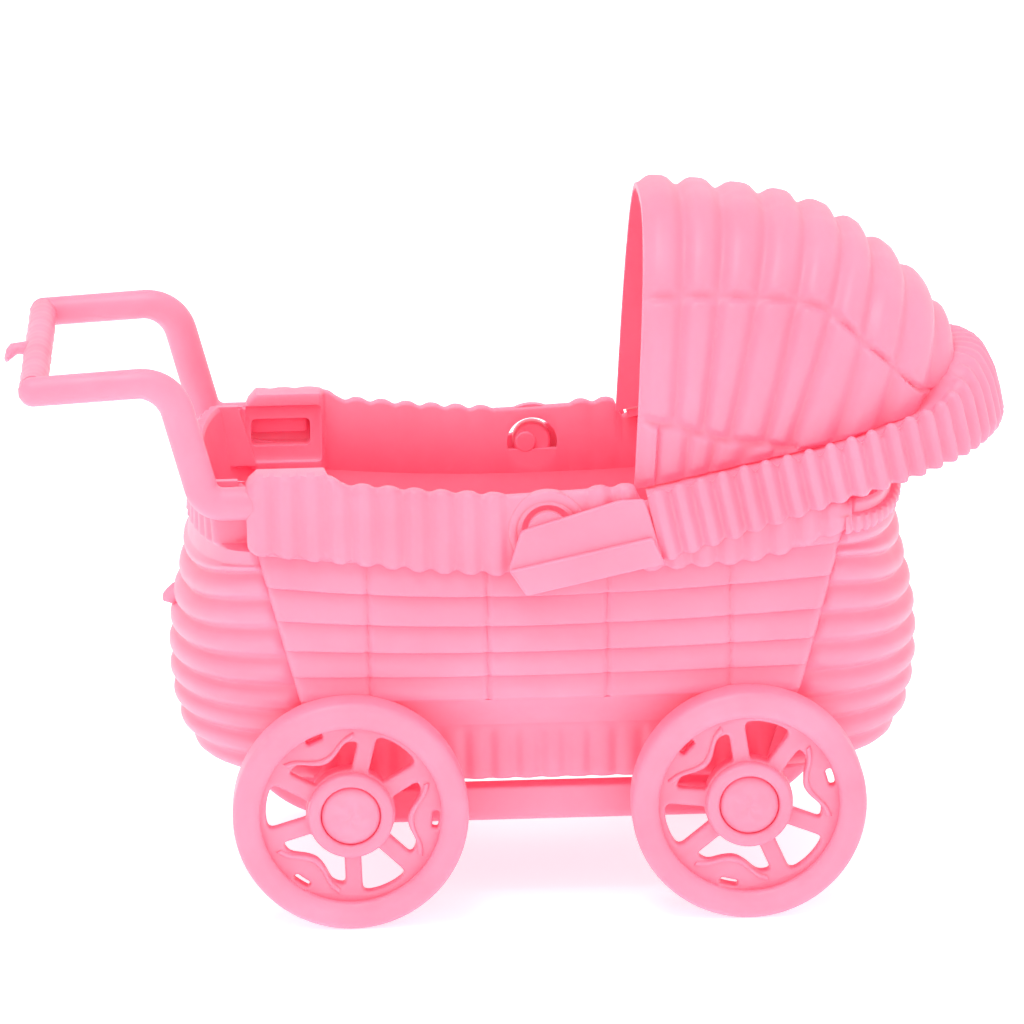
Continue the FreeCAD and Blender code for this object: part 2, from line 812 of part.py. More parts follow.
def make_hood():
    """The hood: shell, ledge and base band behind, cheeks and hinge pins in front."""
    make_shell()
    horseshoe("hood_ledge", "hood_width - hood_wall", "band_inner", "band_start",
              "hood_base - ledge_thick", "ledge_thick")
    horseshoe("hood_band", "band_inner", "band_inner + band_thick", "band_start",
              "band_under", "band_top - band_under")
    make_cheek()
    pin = rod("hood_pin_rod", Y_AXIS, Radius="pin_radius", Height="band_inner - pin_tip + pin_root",
              at_x="pivot_x", at_y="0 - band_inner", at_z="pivot_z")
    both_sides("hood_pin", pin)


def write_parts():
    """Check every object and write each sub-part to its own file."""
    doc.recompute()
    for item in doc.Objects:
        if "Invalid" in item.State or "Error" in item.State:
            raise RuntimeError("%s failed: %s" % (item.Name, item.State))
    os.makedirs("parts", exist_ok=True)
    for part in SUB_PARTS:
        shape = part.Shape
        if shape.isNull() or not shape.isValid() or not shape.Solids:
            raise RuntimeError(part.Label + " has no valid solid")
        print("%-22s %d solid(s) %9.1f mm3" % (part.Label, len(shape.Solids), shape.Volume))
        shape.exportStep("parts/%s.step" % part.Label)


make_basket()
make_sockets()
make_handle()
for end_name, axle in (("rear", "rear_axle"), ("front", "front_axle")):
    for side_name, side_sign in (("left", 1), ("right", -1)):
        label = "%s_%s" % (end_name, side_name)
        make_wheel("wheel_" + label, axle, side_sign, WHEEL_TURN[end_name])
        make_axle("axle_" + label, axle, side_sign)
make_chassis()
make_hood()
write_parts()
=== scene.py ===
"""Looks of the moulded doll's pram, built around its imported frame.

Sizes below are in millimetres and are turned into metres where each mesh is made.  X runs from
the handle to the hood, Y across the pram and Z up, as in the frame.
"""
import math

import bmesh
import bpy
import numpy as np
from mathutils import Matrix, Vector


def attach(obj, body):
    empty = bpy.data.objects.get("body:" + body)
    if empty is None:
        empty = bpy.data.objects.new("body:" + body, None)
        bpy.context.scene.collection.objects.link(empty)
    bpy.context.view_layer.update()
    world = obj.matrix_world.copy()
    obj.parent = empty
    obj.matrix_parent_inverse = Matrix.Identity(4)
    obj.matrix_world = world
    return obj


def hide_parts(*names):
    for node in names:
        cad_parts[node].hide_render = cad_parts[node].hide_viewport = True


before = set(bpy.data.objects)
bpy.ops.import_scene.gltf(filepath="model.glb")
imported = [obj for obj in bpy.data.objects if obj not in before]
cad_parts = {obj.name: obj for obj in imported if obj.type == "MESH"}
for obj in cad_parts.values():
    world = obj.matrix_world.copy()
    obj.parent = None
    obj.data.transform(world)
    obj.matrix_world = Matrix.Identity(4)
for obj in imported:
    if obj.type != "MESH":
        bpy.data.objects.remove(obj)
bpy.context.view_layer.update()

MM = 0.001
SIDES = {"left": 1, "right": -1}
AXLES = {"rear": -23.0, "front": 28.7}
# degrees that the wheels of each axle are turned by at rest
WHEEL_TURNS = {"rear": 6.0, "front": -16.0}

# basket
MID = 3.3
CORNER_FOOT = 24.2
CORNER_SLOPE = math.tan(math.radians(15.8))
WALL = 1.2
FLOOR_UNDER = 16.9
LEDGE = 24.8
SLAT_LIPS = (29.1, 32.5, 35.8, 39.4, 43.4, 47.5, 51.4)
SLAT_PROUD = 0.8
# rows of points under the slats, then across each slat as parts of its height
FOOT_ROWS = (24.8, 25.1, 25.5, 26.1, 26.8, 27.6, 28.4, 29.0)
SLAT_ROWS = (0.0, 0.035, 0.08, 0.16, 0.28, 0.42, 0.56, 0.70, 0.82, 0.91, 0.97)
PANEL_COLUMNS = 230
# where the slats are lowest, then how far they rise over what length to the rear and the front
SAG_MIDDLE = -1.0
SAG_REAR = (2.3, 33.0)
SAG_FRONT = (1.7, 39.0)
DIVIDERS = (-20.2, -4.8, 10.7, 26.6)
# depth and reach of an upright groove, and of the shallow dish round it
GROOVE = ((0.42, 0.32), (0.16, 1.6))
RING_PITCH = 3.5
RING_START = 17.2
RING_PROUD = 1.1
RING_ROWS = (0.0, 0.04, 0.1, 0.2, 0.34, 0.5, 0.66, 0.8, 0.9, 0.96)
# where the rings stop and where the wall ends, for each rounded end
REAR_RINGS = 47.1
REAR_TOP = 59.0
FRONT_RINGS = 50.6
FRONT_TOP = 55.2
END_RISE = 2.2
# below 1 a rounded end is squarer than an ellipse
END_SQUARENESS = 0.86
# height over which the slats and rings grow from level to bowed
BOW_SPAN = 22.0
# above this height the rear end narrows to these half widths, outside and inside, for the arms
NOTCH_FLOOR = 50.8
NOTCH_WIDTHS = (20.9, 19.8)
INNER_WIDTH = 22.9
# for each height: the side panels' half width, then the rounded ends' half width and half length
PANEL_WIDTH = ((24.8, 18.4), (25.7, 18.7), (27.1, 19.7), (29.1, 21.5), (32.0, 22.2), (42.0, 23.5),
               (48.0, 23.6), (56.0, 23.6))
END_WIDTH = ((16.9, 15.6), (18.5, 17.0), (24.3, 18.9), (28.3, 20.6), (32.0, 21.6), (42.0, 22.9),
             (48.0, 23.5), (56.0, 23.7))
END_LENGTH = ((16.9, 41.2), (18.0, 44.2), (20.5, 46.6), (25.0, 48.2), (31.0, 48.8), (38.0, 48.3),
              (44.0, 47.0), (51.0, 45.9), (56.0, 45.6))
PLINTH_ENDS = (-27.6, 34.3)
PLINTH_ROWS = (16.9, 17.2, 17.8, 19.0, 21.0, 23.1, 24.1, 24.6, 24.9)
PLINTH_PITCH = 3.3
PLINTH_FACE = 17.0
PLINTH_BACK = 16.0
# rim band: place and height of its lower and upper edges
RIM_UNDER = ((-35.4, 50.3), (-24.9, 48.9), (-12.0, 47.2), (-1.8, 46.5), (14.0, 46.6), (28.0, 47.3),
             (34.0, 48.6), (40.5, 51.0))
RIM_TOP = ((-35.4, 59.2), (-34.0, 60.5), (-25.2, 60.5), (-23.2, 59.0), (-12.0, 57.8), (-3.0, 57.1),
           (-1.5, 57.2), (14.4, 57.9), (15.4, 55.6), (40.5, 55.3))
RIM_REAR = -35.4
# places behind the rim's rear face, where only the socket's inner wall goes on
TAIL_PLACES = (-36.9, -36.6, -35.45)
TAIL_WIDTH = 21.05
FRONT_RIM_LENGTH = 46.3
FRONT_RIM_WIDTH = 23.9
RIM_FACE = 24.75
RIM_RIB = 0.65
RIB_PITCH = 3.35
PIVOT = (3.2, 52.3)
HINGE_Y = 24.0
PIVOT_HOLE = 3.4
EAR_RADIUS = 5.2
# half the length of rim round the hinge that has no ribs
HINGE_CLEAR = 4.4
SOCKET = (RIM_REAR, -24.8)
SOCKET_INNER = 20.3
# spans along X, outwards and up of the socket's recess and latch window, and of the handle's tongue
RECESS = ((-36.2, -25.2), (19.5, 20.85), (51.0, 58.9))
WINDOW = ((-34.8, -26.8), (20.5, 24.0), (53.2, 57.0))
TONGUE = ((-35.6, -27.2), (22.35, 24.2), (54.7, 58.7))
GATE_PLACE = (-44.6, 38.8)
# handle
ARM_Y = 23.3
ARM_RADIUS = 2.15
# the arm's upper run and its tip are slimmer than its foot
ARM_SLIM = 0.89
CROSS_BAR = (-62.2, 72.0)
CROSS_HALF = 22.6
ARM_PATH = ((*CROSS_BAR, 0.0), (-44.9, 72.9, 5.0), (-40.6, 56.6, 3.0), (-34.6, 56.6, 0.0))
# wheels
WHEEL_RADIUS = 15.3
WHEEL_HALF = 3.0
WHEEL_Y = 24.5
# where the stub axle's shoulder starts, outwards of the rail
SHOULDER_Y = 17.9
TYRE_INNER = 11.7
HUB_RADIUS = 5.6
CUP_RADIUS = 3.9
SPOKE_ANGLE = 37.5
SPOKE_HALF = 1.1
WINDOW_INNER = HUB_RADIUS + 0.2
SWAG_TURNS = (0, 120, 240)
# angle and radius of the cord along a swag's lower edge
SWAG_CORD = ((-27, 10.6), (-21, 9.95), (-10, 8.35), (0, 7.85), (10, 8.35), (21, 9.95), (27, 10.6))
CORD_RADIUS = 0.42
RAIL_OUTLINE = ((13.2, 10.8), (16.6, 10.8), (16.6, 15.6), (13.2, 15.6))
# place along a rail and the size of its cross-section there
RAIL_STATIONS = ((-26.6, 0.85), (-26.3, 0.96), (-25.9, 1.0), (31.6, 1.0), (32.0, 0.96), (32.3, 0.85))
# hood, in its own frame on the hinge axis
HOOD_LEAN = 12.0
SHELL_WIDTH = 22.3
SHELL_FRONT = 12.0
SHELL_BASE = 2.0
# a place along the hood that is inside it, to tell its outer face from its inner one
SHELL_MIDDLE = 30.0
HOOD_REAR = 35.0
# powers that shape the hood's arches: how fast they rise, and how square they are across
ARCH_RISE = 0.8
ARCH_SPREAD = 0.72
RIB_ROWS = (0.0, 0.03, 0.08, 0.15, 0.24, 0.34, 0.44, 0.5, 0.56, 0.66, 0.76, 0.85, 0.92, 0.97)
LEDGE_INNER = 21.2
BAND_RADIUS = 26.2
BAND_FACE = 26.1
BAND_RIB = 1.1
BAND_START = 13.4
BAND_RIBS = 22
# along the band from its rear: how far its ribs stand above the ledge, and its lower edge
FINGER_RISE = ((0.0, 0.6), (20.0, 0.8), (34.0, 1.3), (50.0, 1.1), (62.8, 0.5))
BAND_EDGE = ((0.0, -5.6), (12.0, -5.0), (24.0, -4.5), (38.0, -4.6), (50.0, -5.8), (62.8, -7.0))
# for each boundary between ribs of the hood: its foot's place along the base curve, then its
# top's place and height
SHELL_RIBS = ((0.0, 21.6, 36.2), (4.8, 26.7, 34.7), (8.3, 31.7, 33.0), (11.7, 37.1, 30.9),
              (16.6, 41.9, 28.5), (20.2, 46.3, 25.3), (26.6, 49.6, 21.7), (32.8, 53.1, 17.2),
              (41.3, 55.9, 12.0), (58.0, 57.5, 7.0))
# where the ribs' long row ends, as part of an arch's rise, for each place along the ribs
CREASE = ((0.0, 0.69), (4.9, 0.70), (5.75, 0.62), (7.0, 0.47), (7.8, 0.25), (8.5, 0.10),
          (9.0, 0.05))
# flat ends of the band: outline along X and Z, radius of its corners, and its span outwards, for
# the whole cheek and for its thicker lower part
CHEEKS = (
    (((-6.0, -3.4), (-4.7, -7.1), (13.6, -7.1), (13.0, 1.5), (9.8, 2.1), (-3.4, 1.1)),
     0.5, 25.5, 26.5),
    (((-6.0, -3.5), (-4.6, -7.2), (13.7, -7.2), (12.9, -3.5)), 0.35, 25.6, 27.35),
)
# two close pinks for the moulding's flow, then what all pieces share; the faint emission stands
# for the light that comes through thin walls
PINKS = ((0.97, 0.265, 0.385), (0.99, 0.315, 0.450))
PLASTIC_LOOK = {
    "Subsurface Weight": 0.45,
    "Subsurface Radius": (1.0, 0.35, 0.45),
    "Subsurface Scale": 0.0009,
    "Emission Color": (1.0, 0.04, 0.12, 1),
    "Emission Strength": 0.10,
    "IOR": 1.49,
    "Specular IOR Level": 0.4,
}


# ---------------------------------------------------------------- helpers


def lookup(table, value):
    """Straight interpolation in a short table of pairs."""
    xs, ys = zip(*table)
    return np.interp(value, xs, ys)


def eased(table, value):
    """Smooth interpolation through a short table of pairs."""
    xs, ys = (np.array(column, float) for column in zip(*table))
    slopes = np.gradient(ys, xs)
    value = np.clip(np.asarray(value, float), xs[0], xs[-1])
    place = np.clip(np.searchsorted(xs, value) - 1, 0, len(xs) - 2)
    step = xs[place + 1] - xs[place]
    t = (value - xs[place]) / step
    first = ys[place] * (1 + 2 * t) * (1 - t) ** 2 + ys[place + 1] * t * t * (3 - 2 * t)
    return first + step * t * (1 - t) * (slopes[place] * (1 - t) - slopes[place + 1] * t)


def smooth(value):
    """Ease from 0 to 1."""
    t = np.clip(value, 0.0, 1.0)
    return t * t * (3 - 2 * t)


def bump(fraction, power=3.2):
    """A rib's height across its width: rounded valleys at its edges, 1 on its broad crest."""
    return 1 - np.abs(np.cos(math.pi * fraction)) ** power


def corner_x(height):
    """Half the distance between the leaning lines where the sides meet the ends."""
    return CORNER_FOOT + height * CORNER_SLOPE


def hood_place():
    """From the hood's own frame to the pram's, both in millimetres."""
    turn = Matrix.Rotation(math.radians(-HOOD_LEAN), 4, "Y")
    return Matrix.Translation((PIVOT[0], 0, PIVOT[1])) @ turn


def placed(points, matrix):
    """An array of points moved by a matrix."""
    m = np.array(matrix)
    return points @ m[:3, :3].T + m[:3, 3]


def quads(rows, columns, wrap_rows=False, wrap_columns=False):
    """Corner numbers of the faces of a grid of points."""
    faces = []
    for row in range(rows if wrap_rows else rows - 1):
        after = (row + 1) % rows
        for column in range(columns if wrap_columns else columns - 1):
            beside = (column + 1) % columns
            faces.append((row * columns + column, row * columns + beside,
                          after * columns + beside, after * columns + column))
    return faces


def linked(name, data):
    """A new object in the scene, holding a mesh, a curve, a lamp or a camera."""
    holder = bpy.data.objects.new(name, data)
    bpy.context.collection.objects.link(holder)
    return holder


def shade(mesh, angle):
    """Shade a mesh smoothly, except along its sharp edges."""
    mesh.shade_smooth()
    mesh.set_sharp_from_angle(angle=math.radians(angle))


def evaluated_mesh(holder):
    """What an object's curve or modifiers make, as a mesh of its own."""
    bpy.context.view_layer.update()
    ready = holder.evaluated_get(bpy.context.evaluated_depsgraph_get())
    return bpy.data.meshes.new_from_object(ready)


def new_object(name, vertices, faces, angle=50.0):
    """A smooth-shaded closed mesh, from points in millimetres."""
    mesh = bpy.data.meshes.new(name)
    mesh.from_pydata((np.asarray(vertices) * MM).tolist(), [], faces)
    piece = linked(name, mesh)
    finish_mesh(piece, angle)
    return piece


def finish_mesh(piece, angle):
    """Join doubled points, turn the faces outwards and shade them smoothly."""
    work = bmesh.new()
    work.from_mesh(piece.data)
    bmesh.ops.remove_doubles(work, verts=work.verts, dist=1e-6)
    bmesh.ops.dissolve_degenerate(work, edges=work.edges, dist=1e-7)
    bmesh.ops.recalc_face_normals(work, faces=work.faces)
    work.to_mesh(piece.data)
    work.free()
    shade(piece.data, angle)


def slab(name, outer, inner):
    """A closed shell between two grids of points of the same size."""
    rows, columns = outer.shape[:2]
    count = rows * columns
    faces = quads(rows, columns)
    faces += [tuple(count + corner for corner in reversed(face)) for face in quads(rows, columns)]
    border = [row * columns for row in range(rows)]
    border += [(rows - 1) * columns + column for column in range(1, columns)]
    border += [row * columns + columns - 1 for row in range(rows - 2, -1, -1)]
    border += [column for column in range(columns - 2, 0, -1)]
    for place, corner in enumerate(border):
        beside = border[(place + 1) % len(border)]
        faces.append((corner, beside, count + beside, count + corner))
    vertices = np.concatenate([outer.reshape(-1, 3), inner.reshape(-1, 3)])
    return new_object(name, vertices, faces)


def sweep(name, sections, closed=False, angle=50.0):
    """A solid through closed sections, capped at its ends unless it closes on itself."""
    rows, columns = sections.shape[:2]
    faces = quads(rows, columns, closed, True)
    if not closed:
        faces.append(tuple(range(columns)))
        faces.append(tuple((rows - 1) * columns + column for column in reversed(range(columns))))
    return new_object(name, sections.reshape(-1, 3), faces, angle)


def rounded(corners, radius, steps=5):
    """A closed outline with each corner turned into a short curve."""
    corners = np.array(corners, float)
    radii = np.broadcast_to(radius, len(corners))
    outline = []
    for place, corner in enumerate(corners):
        before = corners[place - 1] - corner
        after = corners[(place + 1) % len(corners)] - corner
        reach = min(radii[place], 0.48 * np.linalg.norm(before), 0.48 * np.linalg.norm(after))
        start = corner + before / np.linalg.norm(before) * reach
        end = corner + after / np.linalg.norm(after) * reach
        for t in np.linspace(0, 1, steps):
            outline.append((1 - t) ** 2 * start + 2 * t * (1 - t) * corner + t * t * end)
    return np.array(outline)


def full_turn(count):
    """Angles all round, each once."""
    return np.linspace(0, 2 * math.pi, count, endpoint=False)


def lathe(name, profile, centre, side=1, steps=96, wobble=None):
    """A closed profile of (radius, place along Y) turned about an axle along Y."""
    turns = full_turn(steps)
    radius = profile[None, :, 0]
    along = np.broadcast_to(profile[None, :, 1], (steps, len(profile)))
    if wobble is not None:
        along = along + wobble(radius, turns[:, None])
    sections = np.stack([centre[0] + radius * np.cos(turns)[:, None],
                         centre[1] + side * along,
                         centre[2] + radius * np.sin(turns)[:, None]], axis=-1)
    return sweep(name, sections, closed=True)


def plate(name, outlines, thickness, bevel, place):
    """A flat plate along Z with rounded edges; the first outline is its edge, others are holes."""
    curve = bpy.data.curves.new(name, "CURVE")
    curve.dimensions = "2D"
    curve.fill_mode = "BOTH"
    curve.extrude = (thickness / 2 - bevel) * MM
    curve.bevel_depth = bevel * MM
    curve.bevel_resolution = 3
    curve.offset = -bevel * MM
    for outline in outlines:
        spline = curve.splines.new("POLY")
        spline.points.add(len(outline) - 1)
        for point, (x, y) in zip(spline.points, outline):
            point.co = (x * MM, y * MM, 0, 1)
        spline.use_cyclic_u = True
    holder = linked(name, curve)
    mesh = evaluated_mesh(holder)
    bpy.data.objects.remove(holder)
    shift = place.copy()
    shift.translation = shift.translation * MM
    mesh.transform(shift)
    mesh.materials.clear()
    piece = linked(name, mesh)
    finish_mesh(piece, 40.0)
    return piece


def joined(name, pieces):
    """One piece made of several."""
    work = bmesh.new()
    for piece in pieces:
        work.from_mesh(piece.data)
        bpy.data.objects.remove(piece)
    mesh = bpy.data.meshes.new(name)
    work.to_mesh(mesh)
    work.free()
    shade(mesh, 50.0)
    return linked(name, mesh)


def carve(piece, cutter):
    """Cut one closed piece out of another."""
    modifier = piece.modifiers.new("carve", "BOOLEAN")
    modifier.operation = "DIFFERENCE"
    modifier.solver = "EXACT"
    modifier.object = cutter
    mesh = evaluated_mesh(piece)
    piece.modifiers.clear()
    piece.data = mesh
    bpy.data.objects.remove(cutter)
    shade(mesh, 40.0)


def shrunk(outline, factor):
    """An outline made smaller about its own middle."""
    middle = outline.mean(axis=0)
    return middle + (outline - middle) * factor


def side_block(name, side, along, across, upright, radius):
    """A rounded box on one side of the pram, from its spans along X, outwards and up."""
    corners = rounded([(along[0], upright[0]), (along[1], upright[0]), (along[1], upright[1]),
                       (along[0], upright[1])], radius)
    low, high = sorted(side * y for y in across)
    rows = []
    for y, factor in ((low, 0.93), (low + 0.25, 1.0), (high - 0.25, 1.0), (high, 0.93)):
        flat = shrunk(corners, factor)
        rows.append(np.stack([flat[:, 0], np.full(len(flat), y), flat[:, 1]], axis=-1))
    return sweep(name, np.array(rows))


def wear(piece, material):
    """Give a piece its one material."""
    piece.data.materials.clear()
    piece.data.materials.append(material)


def settle(piece, body, slot, material, *nodes):
    """Give a piece its material and its body, and hide the frame's nodes that it stands for; slot is
    not used.
    """
    wear(piece, material)
    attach(piece, body)
    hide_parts(*nodes)


# ---------------------------------------------------------------- material


def set_inputs(node, values):
    """Set several of a shader node's inputs."""
    for socket, value in values.items():
        node.inputs[socket].default_value = value


def noise(tree, scale, detail):
    """A noise texture in the piece's own space."""
    where = tree.nodes.new("ShaderNodeTexCoord")
    texture = tree.nodes.new("ShaderNodeTexNoise")
    set_inputs(texture, {"Scale": scale, "Detail": detail})
    tree.links.new(where.outputs["Object"], texture.inputs["Vector"])
    return texture


def relief(tree, texture, strength, distance):
    """A slight bump that follows a noise texture."""
    node = tree.nodes.new("ShaderNodeBump")
    set_inputs(node, {"Strength": strength, "Distance": distance})
    tree.links.new(texture.outputs["Fac"], node.inputs["Height"])
    return node


def flow_tint(tree, shader, shade_factor, flow_scale):
    """Base colour that drifts between two close pinks, as moulded plastic does."""
    flow = noise(tree, flow_scale, 3.0)
    tint = tree.nodes.new("ShaderNodeValToRGB")
    for number, (position, pink) in enumerate(zip((0.3, 0.7), PINKS)):
        element = tint.color_ramp.elements[number]
        element.position = position
        element.color = (*(part * shade_factor for part in pink), 1)
    tree.links.new(flow.outputs["Fac"], tint.inputs["Fac"])
    tree.links.new(tint.outputs["Color"], shader.inputs["Base Color"])


def plastic(name, shade_factor=1.0, flow_scale=60.0):
    """Satin pink moulded plastic, slightly translucent, with faint flow and grain."""
    material = bpy.data.materials.new(name)
    material.use_nodes = True
    tree = material.node_tree
    shader = tree.nodes["Principled BSDF"]
    flow_tint(tree, shader, shade_factor, flow_scale)

    swirl = noise(tree, 330.0, 2.0)
    fine = relief(tree, noise(tree, 2600.0, 2.0), 0.12, 0.00004)
    broad = relief(tree, swirl, 0.25, 0.00012)
    tree.links.new(fine.outputs["Normal"], broad.inputs["Normal"])
    tree.links.new(broad.outputs["Normal"], shader.inputs["Normal"])

    gloss = tree.nodes.new("ShaderNodeMapRange")
    set_inputs(gloss, {"To Min": 0.36, "To Max": 0.50})
    tree.links.new(swirl.outputs["Fac"], gloss.inputs["Value"])
    tree.links.new(gloss.outputs["Result"], shader.inputs["Roughness"])
    set_inputs(shader, PLASTIC_LOOK)
    return material


# ---------------------------------------------------------------- basket


def slat_sag(x):
    """How far the slats rise from the middle of a side towards its ends."""
    from_middle = x - SAG_MIDDLE
    rear, front = (rise * (from_middle / reach) ** 2 for rise, reach in (SAG_REAR, SAG_FRONT))
    return np.where(from_middle < 0, rear, front)


def panel_rows():
    """Heights of a side panel's rows of points, each with its place across its own slat."""
    rows = [(height, None) for height in FOOT_ROWS]
    for low, high in zip(SLAT_LIPS, SLAT_LIPS[1:]):
        rows += [(low + part * (high - low), part) for part in SLAT_ROWS]
    return rows


def slat_relief(x, height, part):
    """How far a row of a side stands out: a lipped slat, cut by the upright grooves."""
    if part is None:
        return np.full_like(x, -0.1)
    lip = min(1.0, (part / 0.08) ** 0.5)
    proud = np.full_like(x, SLAT_PROUD * lip * (1 - part) ** 0.85
                         + 0.18 * math.sin(math.pi * part))
    proud *= 1 - 0.4 * float(smooth((height - 46.0) / 2.0))
    for divider in DIVIDERS:
        for depth, reach in GROOVE:
            proud -= depth * np.exp(-((x - divider) / reach) ** 2)
    return proud


def side_panel(name, side):
    """One leaning side of the basket: overlapping slats cut by four upright grooves."""
    columns = np.linspace(0, 1, PANEL_COLUMNS)
    outer = []
    inner = []
    for height, part in panel_rows():
        reach = corner_x(height)
        x = MID - reach + 2 * reach * columns
        z = height + slat_sag(x) * smooth((height - LEDGE) / BOW_SPAN)
        width = eased(PANEL_WIDTH, height) * np.ones_like(x)
        proud = slat_relief(x, height, part)
        edge = np.minimum(x - (MID - reach), (MID + reach) - x)
        rounding = 1 - np.sqrt(np.clip(1 - (1 - np.clip(edge / 1.5, 0, 1)) ** 2, 0, 1))
        y = width + proud + 0.25 - (0.8 + 0.7 * proud) * rounding
        outer.append(np.stack([x, side * y, z], axis=-1))
        within = width - WALL + 0.5 * float(smooth((height - 44.0) / 4.0))
        inner.append(np.stack([x, side * within, z], axis=-1))
    return slab(name, np.array(outer), np.array(inner))


def ring_part(height, limit):
    """Place across its ring of a height on a rounded end, or None above the last ring."""
    part = (height - RING_START) / RING_PITCH
    return part - math.floor(part) if 0 <= part and height < limit else None


def end_rows(ring_limit, top):
    """Heights of a rounded end's rows of points: those of each ring, then the band above them."""
    heights = [FLOOR_UNDER]
    ring = 0
    while RING_START + ring * RING_PITCH < ring_limit - 0.1:
        heights += [RING_START + (ring + part) * RING_PITCH for part in RING_ROWS]
        ring += 1
    start = RING_START + ring * RING_PITCH
    heights += list(np.linspace(start, top, max(8, int((top - start) / 0.22))))
    return heights


def end_level(height, turns, direction, ring_limit, top, notched):
    """One row of a rounded end, outside and inside; notched ends make room for the handle."""
    above = float(smooth((height - NOTCH_FLOOR + 0.5) / 0.5)) if notched else 0.0
    straight = corner_x(height)
    reach = eased(END_LENGTH, height) - straight
    width = eased(END_WIDTH, height)
    part = ring_part(height, ring_limit)
    proud = 0.35 * RING_PROUD
    if part is not None:
        proud = RING_PROUD * (0.1 + 0.9 * float(bump(part ** 0.8, 3.6))) - 0.35
    proud = proud + above * 0.5 * bump((turns * 22.0 / RIB_PITCH) % 1.0)
    from_edge = (math.pi / 2 - np.abs(turns)) * width * 0.7
    fade = smooth(from_edge / 1.8)
    swell = proud * fade - 0.35 * (1 - fade)
    rim = float(smooth((height - top + 0.5) / 0.5))
    shape = np.abs(np.cos(turns)) ** END_SQUARENESS
    rise = END_RISE * np.abs(np.sin(turns)) ** 3 * float(smooth((height - LEDGE) / BOW_SPAN))
    z = height + rise * float(smooth((NOTCH_FLOOR - 1.0 - height) / 5.0))
    sides = []
    for grow, limit in zip((swell - 0.45 * rim, 0.35 * rim - WALL - 0.1), NOTCH_WIDTHS):
        x = MID + direction * (straight - 1.1 + (reach + 1.1 + grow) * shape)
        half = np.abs((width + grow) * np.sin(turns))
        half = half - above * np.maximum(half - limit, 0.0)
        sides.append(np.stack([x, np.sign(turns) * half, z + 0 * x], axis=-1))
    return sides


def rounded_end(name, direction, ring_limit, top, notched=False):
    """A bulging end of the basket, ringed like wicker up to ring_limit."""
    turns = np.radians(np.linspace(-90, 90, 181))
    levels = [end_level(height, turns, direction, ring_limit, top, notched)
              for height in end_rows(ring_limit, top)]
    outer, inner = (np.array(side) for side in zip(*levels))
    return slab(name, outer, inner)


def plinth_side(side):
    """The ribbed foot of one side, below the ledge."""
    x = np.arange(*PLINTH_ENDS, 0.22)
    rib = bump(((x - PLINTH_ENDS[0]) / PLINTH_PITCH) % 1.0)
    outer = []
    inner = []
    for height in PLINTH_ROWS:
        z = np.full_like(x, height)
        edge = min(height - PLINTH_ROWS[0], PLINTH_ROWS[-1] - height)
        round_in = 0.5 * (1 - smooth(edge / 0.5))
        ledge = 0.9 * smooth((height - 23.7) / 0.6)
        y = PLINTH_FACE + 0.42 * rib * (1 - smooth((height - 23.3) / 0.8)) + ledge - round_in
        outer.append(np.stack([x, side * y, z], axis=-1))
        inner.append(np.stack([x, np.full_like(x, side * PLINTH_BACK), z], axis=-1))
    return slab("plinth_side", np.array(outer), np.array(inner))


def rib_at(x):
    """Rounded upright ribs of the rim, left out round the hinge."""
    rib = bump(((x - SOCKET[0]) / RIB_PITCH) % 1.0)
    clear = smooth((np.abs(x - PIVOT[0]) - HINGE_CLEAR) / 0.8)
    return rib * clear


def rim_section(place, side):
    """The rim cut across: rounded at its top and outer edges, thicker at the handle's socket."""
    rib = float(rib_at(np.array(place)))
    end_in = 0.35 * float(1 - smooth((place - RIM_REAR) / 0.3))
    in_socket = 1 - float(smooth((place - SOCKET[1] + 0.6) / 0.6))
    inner = INNER_WIDTH - (INNER_WIDTH - SOCKET_INNER) * in_socket
    outer = TAIL_WIDTH
    if place not in TAIL_PLACES:
        outer = RIM_FACE + RIM_RIB * rib + 0.15 * in_socket - end_in
    top = float(lookup(RIM_TOP, place)) + 0.42 * (rib - 0.5) * (1 - in_socket) - end_in
    under = float(lookup(RIM_UNDER, place)) - 0.4 * (rib - 0.5) + end_in
    middle = (inner + outer) / 2
    outline = [(inner, under + 0.3), (inner + 0.25, under), (outer - 0.9, under),
               (outer - 0.35, under + 0.1), (outer - 0.08, under + 0.5), (outer, under + 1.2),
               (outer + 0.02, under + 2.2), (outer + 0.05, (under + top) / 2),
               (outer + 0.02, top - 2.2), (outer, top - 1.3), (outer - 0.12, top - 0.6),
               (outer - 0.45, top - 0.15), (middle + 0.1, top), (middle - 0.3, top),
               (inner + 0.2, top - 0.12), (inner, top - 0.45), (inner, (under + top) / 2)]
    return [(place, side * y, z) for y, z in outline]


def rim_side(name, side):
    """One side of the rim with its handle socket, hinge hole and ear."""
    places = np.concatenate([TAIL_PLACES, [RIM_REAR, RIM_REAR + 0.1], np.arange(-35.1, 42.4, 0.2)])
    piece = sweep("rim", np.array([rim_section(place, side) for place in places]), angle=60.0)
    hinge = (PIVOT[0], side * HINGE_Y, PIVOT[1])
    hole = np.array([(0.01, -3.0), (PIVOT_HOLE, -3.0), (PIVOT_HOLE, 3.0), (0.01, 3.0)])
    carve(piece, lathe("hole", hole, hinge, side))
    carve(piece, side_block("recess", side, *RECESS, 0.8))
    carve(piece, side_block("window", side, *WINDOW, 0.8))
    ear = rounded([(PIVOT_HOLE, -0.7), (EAR_RADIUS, -0.7), (EAR_RADIUS, 0.9), (4.3, 1.0),
                   (PIVOT_HOLE, 0.4)], (0.05, 0.05, 0.7, 0.5, 0.2))
    return joined(name, [piece, lathe("ear", ear, hinge, side)])


